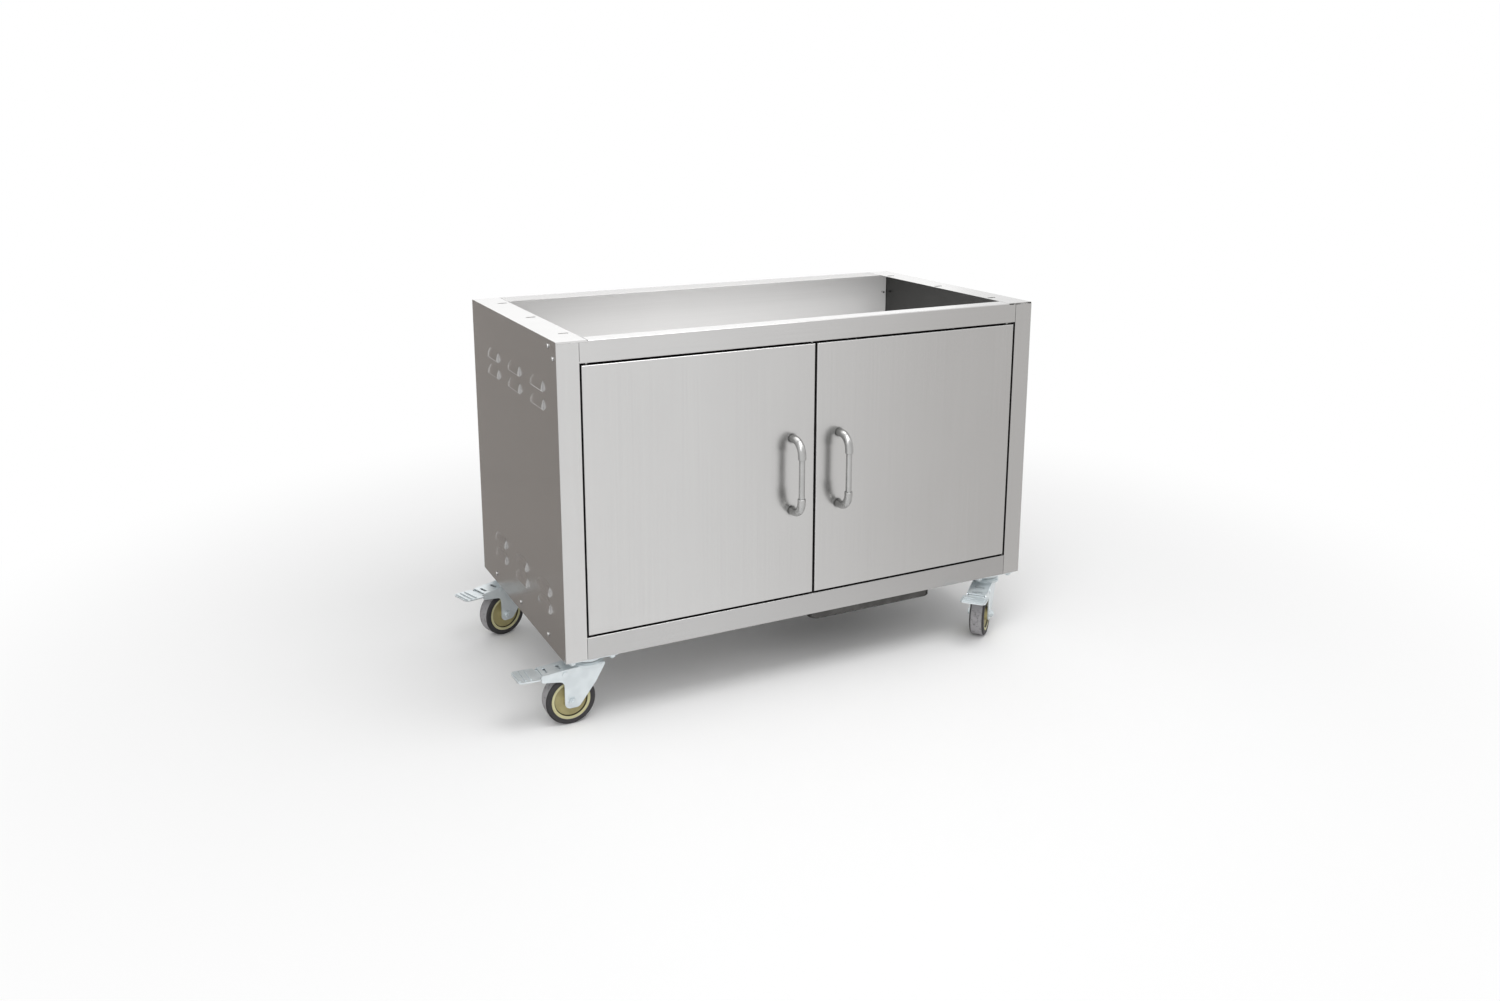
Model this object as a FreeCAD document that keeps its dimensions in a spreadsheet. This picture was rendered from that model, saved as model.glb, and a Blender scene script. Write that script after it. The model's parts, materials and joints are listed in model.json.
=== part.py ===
import FreeCAD, Part
import math
import os
import Sketcher

# Outdoor kitchen cabinet: a folded stainless cabinet with two doors on four swivel castors.
# Millimetres. Origin on the floor under the middle of the cabinet, X to the right,
# Y to the back, Z up.

Vector = FreeCAD.Vector
doc = FreeCAD.newDocument("outdoor_kitchen_cabinet")
sheet_of_sizes = doc.addObject("Spreadsheet::Sheet", "Sizes")


class Size:
    """A length that carries its value and the spreadsheet expression it comes from."""

    def __init__(self, value, text):
        self.value = value
        self.text = text

    def __add__(self, other):
        other = as_size(other)
        return Size(self.value + other.value, f"({self.text} + {other.text})")

    def __sub__(self, other):
        other = as_size(other)
        return Size(self.value - other.value, f"({self.text} - {other.text})")

    def __mul__(self, other):
        other = as_size(other)
        return Size(self.value * other.value, f"({self.text} * {other.text})")

    def __truediv__(self, other):
        other = as_size(other)
        return Size(self.value / other.value, f"({self.text} / {other.text})")

    def __radd__(self, other):
        return as_size(other) + self

    def __rsub__(self, other):
        return as_size(other) - self

    def __rmul__(self, other):
        return as_size(other) * self

    def __neg__(self):
        return Size(-self.value, f"(0 - {self.text})")


def as_size(length):
    return length if isinstance(length, Size) else Size(float(length), f"{float(length):.6f}")


size_count = 0


def size(alias, value):
    """Write one driving size in the spreadsheet and hand it back."""
    global size_count
    size_count += 1
    sheet_of_sizes.set(f"A{size_count}", alias)
    sheet_of_sizes.set(f"B{size_count}", str(value))
    sheet_of_sizes.setAlias(f"B{size_count}", alias)
    return Size(float(value), f"Sizes.{alias}")


# Cabinet
cabinet_width = size("cabinet_width", 1070)
cabinet_depth = size("cabinet_depth", 570)
panel_height = size("panel_height", 615)
castor_height = size("castor_height", 140)
sheet = size("sheet", 1)
bend = size("bend", 2)
post_width = size("post_width", 43)
jamb_depth = size("jamb_depth", 15)
top_flange = size("top_flange", 60)
rear_return = size("rear_return", 25)
corner_slit = size("corner_slit", 2.2)
joint_gap = size("joint_gap", 0.9)
floor_flange = size("floor_flange", 38)

# Rails of the door opening
top_rail_height = size("top_rail_height", 42)
bottom_rail_height = size("bottom_rail_height", 44)
rail_lip = size("rail_lip", 34)
rail_tab = size("rail_tab", 56)
tab_overlap = size("tab_overlap", 12)
tab_margin = size("tab_margin", 4)

# Louvres in the side panels
louvre_length = size("louvre_length", 108)
louvre_height = size("louvre_height", 27)
louvre_depth = size("louvre_depth", 7)
louvre_sink = size("louvre_sink", 6)
louvre_nose = size("louvre_nose", 30)
louvre_column_pitch = size("louvre_column_pitch", 148)
louvre_row_pitch = size("louvre_row_pitch", 35)
upper_louvre_drop = size("upper_louvre_drop", 142)
lower_louvre_rise = size("lower_louvre_rise", 68)

# Slots in the top flanges
slot_length = size("slot_length", 20)
slot_width = size("slot_width", 8)
slot_inset = size("slot_inset", 43)
slot_pitch = size("slot_pitch", 200)

# Bottle well in the floor
well_left = size("well_left", 16)
well_width = size("well_width", 306)
well_length = size("well_length", 298)
well_front = size("well_front", 32)
well_drop = size("well_drop", 32)
well_corner = size("well_corner", 22)
well_foot = size("well_foot", 6)
well_rim = size("well_rim", 14)

# Doors
door_gap = size("door_gap", 4)
centre_gap = size("centre_gap", 5)
door_thickness = size("door_thickness", 20)
liner_flange = size("liner_flange", 4)
pivot_inset = size("pivot_inset", 12)
pin_radius = size("pin_radius", 4)
pin_head_radius = size("pin_head_radius", 7)
pin_head_height = size("pin_head_height", 3)
pin_reach = size("pin_reach", 9)
bush_radius = size("bush_radius", 5.5)
bush_length = size("bush_length", 10)
running_gap = size("running_gap", 0.06)
press_gap = size("press_gap", 0.02)
catch_width = size("catch_width", 44)
catch_height = size("catch_height", 14)
catch_offset = size("catch_offset", 48)
catch_gap = size("catch_gap", 0.5)

# Handles
handle_offset = size("handle_offset", 54)
handle_pitch = size("handle_pitch", 150)
handle_reach = size("handle_reach", 42)
handle_bar_radius = size("handle_bar_radius", 6)
elbow_radius = size("elbow_radius", 8.2)
elbow_bend = size("elbow_bend", 29)
elbow_tail = size("elbow_tail", 6)
foot_radius = size("foot_radius", 9.2)
foot_height = size("foot_height", 2)
collar_round = size("collar_round", 1)

# Screws and bolts
screw_radius = size("screw_radius", 2.4)
screw_head_radius = size("screw_head_radius", 4.8)
screw_head_height = size("screw_head_height", 2.6)
screw_length = size("screw_length", 9)
hole_gap = size("hole_gap", 0.2)
rail_screw_inset = size("rail_screw_inset", 46)
rail_screw_drop = size("rail_screw_drop", 13)
post_screw_inset = size("post_screw_inset", 21)
post_screw_drop = size("post_screw_drop", 33)
floor_screw_pitch = size("floor_screw_pitch", 180)
floor_screw_rise = size("floor_screw_rise", 20)
back_screw_pitch = size("back_screw_pitch", 170)
bolt_radius = size("bolt_radius", 4)
bolt_hole_radius = size("bolt_hole_radius", 4.5)
bolt_flats = size("bolt_flats", 13)
bolt_head_height = size("bolt_head_height", 5.3)
nut_height = size("nut_height", 6.5)
bolt_tail = size("bolt_tail", 2.5)

# Castors
castor_inset_x = size("castor_inset_x", 58)
castor_inset_y = size("castor_inset_y", 46)
plate_length = size("plate_length", 105)
plate_width = size("plate_width", 85)
plate_thickness = size("plate_thickness", 3)
plate_corner = size("plate_corner", 8)
plate_holes_long = size("plate_holes_long", 80)
plate_holes_wide = size("plate_holes_wide", 60)
race_radius = size("race_radius", 27)
race_wall = size("race_wall", 2.2)
race_depth = size("race_depth", 7.2)
race_skirt = size("race_skirt", 4.2)
kingpin_radius = size("kingpin_radius", 6)
kingpin_head = size("kingpin_head", 11)
kingpin_head_height = size("kingpin_head_height", 4)
ball_radius = size("ball_radius", 2.5)
ball_circle = size("ball_circle", 20)
ball_clearance = size("ball_clearance", 0.35)
crown_radius = size("crown_radius", 31)
fork_sheet = size("fork_sheet", 2.5)
fork_gap = size("fork_gap", 38)
trail = size("trail", 40)
wheel_radius = size("wheel_radius", 50)
tyre_width = size("tyre_width", 32)
tyre_shoulder = size("tyre_shoulder", 5)
core_radius = size("core_radius", 39)
core_ring = size("core_ring", 6)
core_recess = size("core_recess", 3)
core_inset = size("core_inset", 1)
core_slope = size("core_slope", 1.5)
hub_radius = size("hub_radius", 14)
hub_gap = size("hub_gap", 0.5)
sleeve_radius = size("sleeve_radius", 6.5)
leg_half = size("leg_half", 14)
leg_round = size("leg_round", 11)
leg_neck = size("leg_neck", 25)
leg_rear = size("leg_rear", 9)
leg_rise = size("leg_rise", 31)
leg_inset = size("leg_inset", 3)
arm_reach = size("arm_reach", 59)
arm_slope = size("arm_slope", 4)
arm_depth = size("arm_depth", 14)
arm_round = size("arm_round", 4)
web_slot_length = size("web_slot_length", 22)
web_slot_width = size("web_slot_width", 6)
web_slot_pitch = size("web_slot_pitch", 26)
pedal_pivot_reach = size("pedal_pivot_reach", 12)
pedal_pivot_rise = size("pedal_pivot_rise", 8)
pedal_width = size("pedal_width", 35)
pedal_sheet = size("pedal_sheet", 2.5)
pedal_heel = size("pedal_heel", 7)
shoe_reach = size("shoe_reach", 9)
shoe_drop = size("shoe_drop", 9.5)
foot_width = size("foot_width", 56)
foot_length = size("foot_length", 45)
foot_corner = size("foot_corner", 10)
foot_rise = size("foot_rise", 2)
foot_clearance = size("foot_clearance", 2)
rib_width = size("rib_width", 2.4)
rib_height = size("rib_height", 2.2)
rib_pitch = size("rib_pitch", 11)
brake_pin_radius = size("brake_pin_radius", 3)
brake_pin_head = size("brake_pin_head", 5.5)
brake_pin_head_height = size("brake_pin_head_height", 1.8)
swivel_gap = size("swivel_gap", 0.3)

BALLS_IN_RACE = 12
WEB_SLOTS = 2
PEDAL_RIBS = 3
LOUVRE_COLUMNS = 3
LOUVRE_ROWS = 2
DOME_SHARE = 0.85
HOOD_SPREAD = 1.14
HEX_CORNER = 1 / math.sqrt(3)
doc.recompute()

# Outer faces of the cabinet
left = -cabinet_width / 2
right = cabinet_width / 2
front = -cabinet_depth / 2
back = cabinet_depth / 2
bottom = castor_height
top = castor_height + panel_height

# Building helpers
PLANE_SIGN = {"XY": 1, "XZ": -1, "YZ": 1}
plane_of = {}
finished = []


def bind(item, name, length):
    item.setExpression(name, as_size(length).text)


def new_body(label):
    body = doc.addObject("PartDesign::Body", label)
    body.Label = label
    body.AllowCompound = True
    return body


def keep(item):
    """Mark a document object as a finished sub-part."""
    finished.append(item)
    return item


def origin_part(body, role):
    """One of the body's own axes or planes."""
    return [item for item in body.Origin.OriginFeatures if item.Role == role][0]


def new_sketch(body, plane, at=0, shift=None):
    """A sketch on one of the body's own planes, moved to the given coordinate."""
    sketch = body.newObject("Sketcher::SketchObject", f"{body.Name}_outline")
    sketch.AttachmentSupport = [(origin_part(body, f"{plane}_Plane"), "")]
    sketch.MapMode = "FlatFace"
    bind(sketch, "AttachmentOffset.Base.z", PLANE_SIGN[plane] * as_size(at))
    if shift is not None:
        bind(sketch, "AttachmentOffset.Base.x", shift)
    plane_of[sketch.Name] = plane
    return sketch


def fix_point(sketch, item, which, x, y):
    """Tie one point of the sketch to its distances from the sketch origin."""
    for kind, length in (("DistanceX", x), ("DistanceY", y)):
        length = as_size(length)
        number = sketch.addConstraint(Sketcher.Constraint(kind, -1, 1, item, which, length.value))
        bind(sketch, f"Constraints[{number}]", length)


def fix_radius(sketch, item, radius):
    radius = as_size(radius)
    number = sketch.addConstraint(Sketcher.Constraint("Radius", item, radius.value))
    bind(sketch, f"Constraints[{number}]", radius)


def add_loop(sketch, points):
    """A closed outline of straight lines."""
    first = sketch.GeometryCount
    places = [Vector(as_size(x).value, as_size(y).value, 0) for x, y in points]
    for index, place in enumerate(places):
        sketch.addGeometry(Part.LineSegment(place, places[(index + 1) % len(places)]), False)
    for index, (x, y) in enumerate(points):
        before = first + (index - 1) % len(points)
        sketch.addConstraint(Sketcher.Constraint("Coincident", before, 2, first + index, 1))
        fix_point(sketch, first + index, 1, x, y)


def add_rectangle(sketch, x0, y0, x1, y1):
    add_loop(sketch, [(x0, y0), (x1, y0), (x1, y1), (x0, y1)])


def add_circle(sketch, x, y, radius):
    centre = Vector(as_size(x).value, as_size(y).value, 0)
    circle = Part.Circle(centre, Vector(0, 0, 1), as_size(radius).value)
    item = sketch.addGeometry(circle, False)
    fix_point(sketch, item, 3, x, y)
    fix_radius(sketch, item, radius)


def add_hexagon(sketch, x, y, flats):
    corner = flats * HEX_CORNER
    half = corner / 2
    side = flats / 2
    add_loop(sketch, [(x + corner, y), (x + half, y + side), (x - half, y + side),
                      (x - corner, y), (x - half, y - side), (x + half, y - side)])


def add_round_loop(sketch, corners):
    """A closed outline of arcs (x, y, radius, first angle, last angle) joined by tangent lines."""
    first = sketch.GeometryCount
    arcs = []
    for x, y, radius, begin, end in corners:
        centre = Vector(as_size(x).value, as_size(y).value, 0)
        circle = Part.Circle(centre, Vector(0, 0, 1), as_size(radius).value)
        arcs.append(Part.ArcOfCircle(circle, math.radians(begin), math.radians(end)))
    for index, arc in enumerate(arcs):
        after = arcs[(index + 1) % len(arcs)]
        sketch.addGeometry(arc, False)
        sketch.addGeometry(Part.LineSegment(arc.EndPoint, after.StartPoint), False)
    count = 2 * len(arcs)
    for index, (x, y, radius, begin, end) in enumerate(corners):
        arc = first + 2 * index
        fix_point(sketch, arc, 3, x, y)
        fix_radius(sketch, arc, radius)
        sketch.addConstraint(Sketcher.Constraint("Tangent", arc, 2, arc + 1, 1))
        after = first + (2 * index + 2) % count
        sketch.addConstraint(Sketcher.Constraint("Tangent", arc + 1, 2, after, 1))


def add_round_rectangle(sketch, x0, y0, x1, y1, radius):
    add_round_loop(sketch, [(x1 - radius, y0 + radius, radius, 270, 360),
                            (x1 - radius, y1 - radius, radius, 0, 90),
                            (x0 + radius, y1 - radius, radius, 90, 180),
                            (x0 + radius, y0 + radius, radius, 180, 270)])


def add_slot(sketch, x, y, length, width):
    """A slot that runs along the sketch's x direction."""
    radius = width / 2
    reach = (length - width) / 2
    add_round_loop(sketch, [(x + reach, y, radius, -90, 90), (x - reach, y, radius, 90, 270)])


def extrude(body, kind, sketch, length, way):
    """Pad or pocket along the positive (1) or negative (-1) axis, or both ways (0)."""
    feature = body.newObject(f"PartDesign::{kind}", f"{body.Name}_{kind.lower()}")
    feature.Profile = sketch
    bind(feature, "Length", length)
    natural = PLANE_SIGN[plane_of[sketch.Name]] * (1 if kind == "Pad" else -1)
    if way == 0:
        feature.SideType = "Symmetric"
    else:
        feature.Reversed = way != natural
    sketch.Visibility = False
    doc.recompute([sketch, feature])
    return feature


def pad(body, sketch, length, way=1):
    return extrude(body, "Pad", sketch, length, way)


def pocket(body, sketch, length, way=-1):
    return extrude(body, "Pocket", sketch, length, way)


def revolve(body, sketch):
    """Turn the outline round the sketch's own vertical axis."""
    feature = body.newObject("PartDesign::Revolution", f"{body.Name}_turned")
    feature.Profile = sketch
    feature.ReferenceAxis = (sketch, ["V_Axis"])
    feature.Angle = 360
    doc.recompute([sketch, feature])
    return feature


def fillet(body, radius, *lines):
    """Round the edges on the given lines or planes, or the circles of a given radius r."""
    base = body.Tip
    names = []
    for index, edge in enumerate(base.Shape.Edges, 1):
        ends = [vertex.Point for vertex in edge.Vertexes]
        for line in lines:
            wanted = {axis: as_size(length).value for axis, length in line.items()}
            edge_radius = wanted.pop("r", None)
            gaps = [abs(end["xyz".index(axis)] - wanted[axis]) for end in ends for axis in wanted]
            if edge_radius is not None:
                gaps.append(abs(getattr(edge.Curve, "Radius", 0) - edge_radius))
            if max(gaps) < 1e-4:
                names.append(f"Edge{index}")
                break
    feature = body.newObject("PartDesign::Fillet", f"{body.Name}_rounding")
    feature.Base = (base, names)
    bind(feature, "Radius", radius)
    doc.recompute([feature])
    return feature


def hollow_out(body, open_height):
    """Turn a solid block into a pan of sheet, open at the given height."""
    base = body.Tip
    tops = [f"Face{index}" for index, face in enumerate(base.Shape.Faces, 1)
            if abs(face.BoundBox.ZMin - open_height.value) < 1e-4]
    feature = body.newObject("PartDesign::Thickness", f"{body.Name}_wall")
    feature.Base = (base, tops)
    feature.Reversed = True
    bind(feature, "Value", sheet)
    doc.recompute()
    return feature


def group(label, members):
    """Several identical solids kept as one sub-part."""
    item = doc.addObject("Part::Compound", label)
    item.Label = label
    item.Links = members
    doc.recompute()
    return keep(item)


def mirror_across(source, label):
    """The right-hand twin of a left-hand sub-part."""
    item = doc.addObject("Part::Mirroring", label)
    item.Label = label
    item.Source = source
    item.Normal = Vector(1, 0, 0)
    item.Base = Vector(0, 0, 0)
    return keep(item)


# Places of the screws, in pairs of coordinates
side_hole = screw_radius + hole_gap
rail_screws = [(front + rail_screw_inset, top - rail_screw_drop),
               (front + post_screw_inset, top - post_screw_drop)]
floor_screws = [(step * floor_screw_pitch, bottom + floor_screw_rise) for step in (-1, 0, 1)]
side_screws = rail_screws + floor_screws
middle_height = castor_height + panel_height / 2
back_screw_x = right - rear_return / 2
back_screw_heights = [middle_height + step * back_screw_pitch for step in (-1.5, -0.5, 0.5, 1.5)]


def build_louvre_row(body, opening_height):
    """A row of pressed hoods: sunk caps of ellipsoids, cut flat at the front and open below."""
    first_column = -louvre_column_pitch * ((LOUVRE_COLUMNS - 1) / 2)
    nose_shift = louvre_length / 2 - louvre_nose
    hood_turn = FreeCAD.Rotation(Vector(-1, 0, 0), Vector(0, 0, 1), Vector(0, 1, 0), "ZXY")
    features = []
    for kind, cut, sweep in (("AdditiveEllipsoid", as_size(0), 90), ("SubtractiveEllipsoid", sheet, 180)):
        hood = body.newObject(f"PartDesign::{kind}", f"{body.Name}_hood")
        half_length = louvre_length / 2 * HOOD_SPREAD - cut
        bind(hood, "Radius1", half_length)
        bind(hood, "Radius2", louvre_depth + louvre_sink - cut)
        bind(hood, "Radius3", louvre_height * HOOD_SPREAD - cut)
        hood.Angle1 = -math.degrees(math.asin((louvre_nose - cut).value / half_length.value))
        hood.Angle3 = sweep
        hood.Placement = FreeCAD.Placement(Vector(0, 0, 0), hood_turn)
        bind(hood, "Placement.Base.x", left + sheet / 2 + louvre_sink)
        bind(hood, "Placement.Base.y", first_column - nose_shift)
        bind(hood, "Placement.Base.z", opening_height)
        doc.recompute()
        features.append(hood)
    pattern = body.newObject("PartDesign::LinearPattern", f"{body.Name}_louvres")
    pattern.Originals = features
    pattern.Direction = (origin_part(body, "Y_Axis"), [""])
    pattern.Mode = "Spacing"
    pattern.Occurrences = LOUVRE_COLUMNS
    bind(pattern, "Offset", louvre_column_pitch)
    body.Tip = pattern
    doc.recompute()
    mouth = new_sketch(body, "XZ", 0)
    outside = left - 2 * louvre_depth
    add_loop(mouth, [(left, opening_height), (outside, opening_height + 2 * louvre_depth),
                     (outside, opening_height - sheet), (left, opening_height - sheet)])
    pocket(body, mouth, cabinet_depth, 0)


def build_side_panel():
    """Wall, front post, rear return and top flange folded from one sheet, with louvres."""
    body = new_body("left_side_panel")
    fold_height = panel_height - sheet - corner_slit
    outline = new_sketch(body, "XY", bottom)
    add_loop(outline, [(left, front), (left + post_width, front), (left + post_width, front + sheet),
                       (left + sheet, front + sheet), (left + sheet, back - sheet),
                       (left + rear_return, back - sheet), (left + rear_return, back), (left, back)])
    pad(body, outline, fold_height)
    fillet(body, bend, {"x": left, "y": front}, {"x": left, "y": back})
    fillet(body, bend - sheet, {"x": left + sheet, "y": front + sheet},
           {"x": left + sheet, "y": back - sheet})

    flange = new_sketch(body, "XZ", 0)
    fold_top = bottom + fold_height
    add_loop(flange, [(left, fold_top), (left + sheet, fold_top), (left + sheet, top - sheet),
                      (left + top_flange, top - sheet), (left + top_flange, top), (left, top)])
    pad(body, flange, cabinet_depth - 2 * bend, 0)
    fillet(body, bend, {"x": left, "z": top})

    jamb = new_sketch(body, "XY", bottom + bottom_rail_height)
    inner = left + post_width
    add_rectangle(jamb, inner - sheet, front, inner, front + jamb_depth)
    pad(body, jamb, panel_height - bottom_rail_height - top_rail_height)

    for row in range(LOUVRE_ROWS):
        build_louvre_row(body, top - upper_louvre_drop + row * louvre_row_pitch)
        build_louvre_row(body, bottom + lower_louvre_rise + row * louvre_row_pitch)
    inner_face = new_sketch(body, "YZ", left + sheet)
    half_depth = cabinet_depth / 2 - rear_return
    add_rectangle(inner_face, -half_depth, bottom + lower_louvre_rise, half_depth, top - 2 * louvre_height)
    pocket(body, inner_face, louvre_sink, 1)

    slots = new_sketch(body, "XY", top + sheet)
    for step in (-1, 0, 1):
        add_slot(slots, left + slot_inset, step * slot_pitch, slot_length, slot_width)
    pocket(body, slots, 3 * sheet)

    holes = new_sketch(body, "YZ", left + 2 * sheet)
    for y, z in side_screws:
        add_circle(holes, y, z, side_hole)
    pocket(body, holes, 3 * sheet)

    rear_holes = new_sketch(body, "XZ", back - 2 * sheet)
    for z in back_screw_heights:
        add_circle(rear_holes, -back_screw_x, z, side_hole)
    pocket(body, rear_holes, 3 * sheet, 1)
    return keep(body)


def build_back_panel():
    body = new_body("back_panel")
    wall = new_sketch(body, "XZ", back - sheet)
    half = cabinet_width / 2 - sheet - joint_gap
    add_rectangle(wall, -half, bottom + joint_gap, half, top - sheet - joint_gap)
    pad(body, wall, sheet, -1)
    fold = new_sketch(body, "YZ", 0)
    outer = back - sheet
    strip = top - 3 * bend
    inner = outer - top_flange
    add_loop(fold, [(outer, strip), (outer, top), (inner, top), (inner, top - sheet),
                    (outer - sheet, top - sheet), (outer - sheet, strip)])
    pad(body, fold, cabinet_width - 2 * (top_flange + joint_gap), 0)
    fillet(body, bend, {"y": outer, "z": top})
    holes = new_sketch(body, "XZ", back)
    for side in (-1, 1):
        for z in back_screw_heights:
            add_circle(holes, side * back_screw_x, z, side_hole)
    pocket(body, holes, 3 * sheet, -1)
    return keep(body)


castor_x = right - castor_inset_x
castor_y = back - castor_inset_y
castor_places = {"front_left": (-1, -1), "rear_left": (-1, 1), "front_right": (1, -1), "rear_right": (1, 1)}
bolt_places = [(across * castor_x + long_side * (plate_holes_long / 2),
                along * castor_y + wide_side * (plate_holes_wide / 2))
               for across, along in castor_places.values()
               for long_side in (-1, 1) for wide_side in (-1, 1)]
well_right = well_left + well_width
well_y0 = front + well_front
well_y1 = well_y0 + well_length


def build_floor_panel():
    """Tray with upturned edges, a cut-out for the bottle well and the castor bolt holes."""
    body = new_body("floor_panel")
    half = cabinet_width / 2 - sheet
    y0 = front + 2 * sheet
    y1 = back - 2 * sheet
    block = new_sketch(body, "XY", bottom)
    add_rectangle(block, -half, y0, half, y1)
    pad(body, block, floor_flange)
    fillet(body, bend, {"x": -half, "z": bottom}, {"x": half, "z": bottom},
           {"y": y0, "z": bottom}, {"y": y1, "z": bottom})
    hollow = new_sketch(body, "XY", bottom + floor_flange)
    add_rectangle(hollow, sheet - half, y0 + sheet, half - sheet, y1 - sheet)
    pocket(body, hollow, floor_flange - sheet)
    floor_top = bottom + sheet
    fillet(body, bend - sheet, {"x": sheet - half, "z": floor_top}, {"x": half - sheet, "z": floor_top},
           {"y": y0 + sheet, "z": floor_top}, {"y": y1 - sheet, "z": floor_top})
    openings = new_sketch(body, "XY", bottom + 2 * sheet)
    add_rectangle(openings, well_left - joint_gap, well_y0 - joint_gap, well_right + joint_gap,
                  well_y1 + joint_gap)
    for x, y in bolt_places:
        add_circle(openings, x, y, bolt_hole_radius)
    pocket(body, openings, 3 * sheet)
    holes = new_sketch(body, "YZ", 0)
    for y, z in floor_screws:
        add_circle(holes, y, z, side_hole)
    pocket(body, holes, cabinet_width, 0)
    return keep(body)


def build_bottle_well():
    """Drawn pan that hangs in the floor by its rim and takes a bottle's foot ring."""
    body = new_body("bottle_well")
    pan = new_sketch(body, "XY", bottom - well_drop)
    add_round_rectangle(pan, well_left, well_y0, well_right, well_y1, well_corner)
    pad(body, pan, well_drop + 2 * sheet)
    fillet(body, well_foot, {"z": bottom - well_drop})
    hollow_out(body, bottom + 2 * sheet)
    rim = new_sketch(body, "XY", bottom + sheet)
    add_round_rectangle(rim, well_left - well_rim, well_y0 - well_rim, well_right + well_rim,
                        well_y1 + well_rim, well_corner + well_rim)
    add_round_rectangle(rim, well_left, well_y0, well_right, well_y1, well_corner)
    pad(body, rim, sheet)
    return keep(body)


opening_left = left + post_width
opening_top = top - top_rail_height
opening_bottom = bottom + bottom_rail_height
door_outer = opening_left + door_gap
pivot_x = door_outer + pivot_inset
pivot_y = front + door_thickness / 2
catch_x = catch_offset + centre_gap / 2


def build_front_rail(label, outline, ends, pin_height):
    """A folded rail between the posts, with tabs that sit behind the posts."""
    body = new_body(label)
    profile = new_sketch(body, "YZ", 0)
    add_loop(profile, outline)
    pad(body, profile, cabinet_width - 2 * (post_width + joint_gap), 0)
    pins = new_sketch(body, "XY", pin_height)
    for side in (-1, 1):
        add_circle(pins, side * pivot_x, pivot_y, pin_radius + press_gap)
    pocket(body, pins, 3 * sheet)
    tab_low, tab_high, tab_outline = ends
    tabs = new_sketch(body, "XY", tab_low)
    for side in (-1, 1):
        add_loop(tabs, [(side * x, y) for x, y in tab_outline])
    pad(body, tabs, tab_high - tab_low)
    return body


def build_top_rail():
    lip_back = front + rail_lip
    outline = [(front, opening_top), (lip_back, opening_top), (lip_back, opening_top + sheet),
               (front + sheet, opening_top + sheet), (front + sheet, top - sheet),
               (lip_back, top - sheet), (lip_back, top), (front, top)]
    tab_inner = right - post_width - tab_overlap
    tab_outline = [(tab_inner, front + sheet), (right - sheet, front + sheet),
                   (right - sheet, front + rail_tab), (right - 2 * sheet, front + rail_tab),
                   (right - 2 * sheet, front + 2 * sheet), (tab_inner, front + 2 * sheet)]
    ends = (opening_top + tab_margin, top - tab_margin, tab_outline)
    body = build_front_rail("front_top_rail", outline, ends, opening_top + 2 * sheet)
    fillet(body, bend, {"y": front, "z": top}, {"y": front, "z": opening_top})
    notches = new_sketch(body, "XY", top)
    notch_inner = right - top_flange - joint_gap
    for side in (-1, 1):
        add_rectangle(notches, side * notch_inner, front, side * right, lip_back)
    pocket(body, notches, sheet + corner_slit)
    holes = new_sketch(body, "YZ", 0)
    for y, z in rail_screws:
        add_circle(holes, y, z, side_hole)
    pocket(body, holes, cabinet_width, 0)
    return keep(body)


def build_bottom_rail():
    lip_back = front + rail_lip
    outline = [(front, bottom), (front + sheet, bottom), (front + sheet, opening_bottom - sheet),
               (lip_back, opening_bottom - sheet), (lip_back, opening_bottom), (front, opening_bottom)]
    tab_inner = right - post_width - tab_overlap
    tab_outer = right - tab_margin
    tab_outline = [(tab_inner, front + sheet), (tab_outer, front + sheet),
                   (tab_outer, front + 2 * sheet), (tab_inner, front + 2 * sheet)]
    ends = (bottom + tab_margin, opening_bottom - tab_margin, tab_outline)
    body = build_front_rail("front_bottom_rail", outline, ends, opening_bottom + sheet)
    fillet(body, bend, {"y": front, "z": opening_bottom})
    return keep(body)


# Doors: the left one is drawn, the right one is its mirror twin
door_inner = -centre_gap / 2
door_low = opening_bottom + door_gap
door_high = opening_top - door_gap
door_back = front + door_thickness
handle_x = -handle_offset
handle_heights = [middle_height - handle_pitch / 2, middle_height + handle_pitch / 2]


def build_door_skin():
    body = new_body("left_door_skin")
    face = new_sketch(body, "XZ", front)
    add_rectangle(face, door_outer, door_low, door_inner, door_high)
    pad(body, face, door_thickness, 1)
    fillet(body, bend, {"y": front})
    hollow = new_sketch(body, "XZ", door_back)
    add_rectangle(hollow, door_outer + sheet, door_low + sheet, door_inner - sheet, door_high - sheet)
    pocket(body, hollow, door_thickness - sheet, -1)
    pivots = new_sketch(body, "XY", middle_height)
    add_circle(pivots, pivot_x, pivot_y, bush_radius + press_gap)
    pocket(body, pivots, panel_height, 0)
    holes = new_sketch(body, "XZ", front + 2 * sheet)
    for z in handle_heights:
        add_circle(holes, handle_x, z, screw_radius + hole_gap)
    pocket(body, holes, 3 * sheet, -1)
    return keep(body)


def build_door_liner():
    body = new_body("left_door_liner")
    block = new_sketch(body, "XZ", door_back)
    add_rectangle(block, door_outer + sheet, door_low + sheet, door_inner - sheet, door_high - sheet)
    pad(body, block, liner_flange, -1)
    hollow = new_sketch(body, "XZ", door_back - liner_flange)
    add_rectangle(hollow, door_outer + 2 * sheet, door_low + 2 * sheet,
                  door_inner - 2 * sheet, door_high - 2 * sheet)
    pocket(body, hollow, liner_flange - sheet, 1)
    return keep(body)


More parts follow.
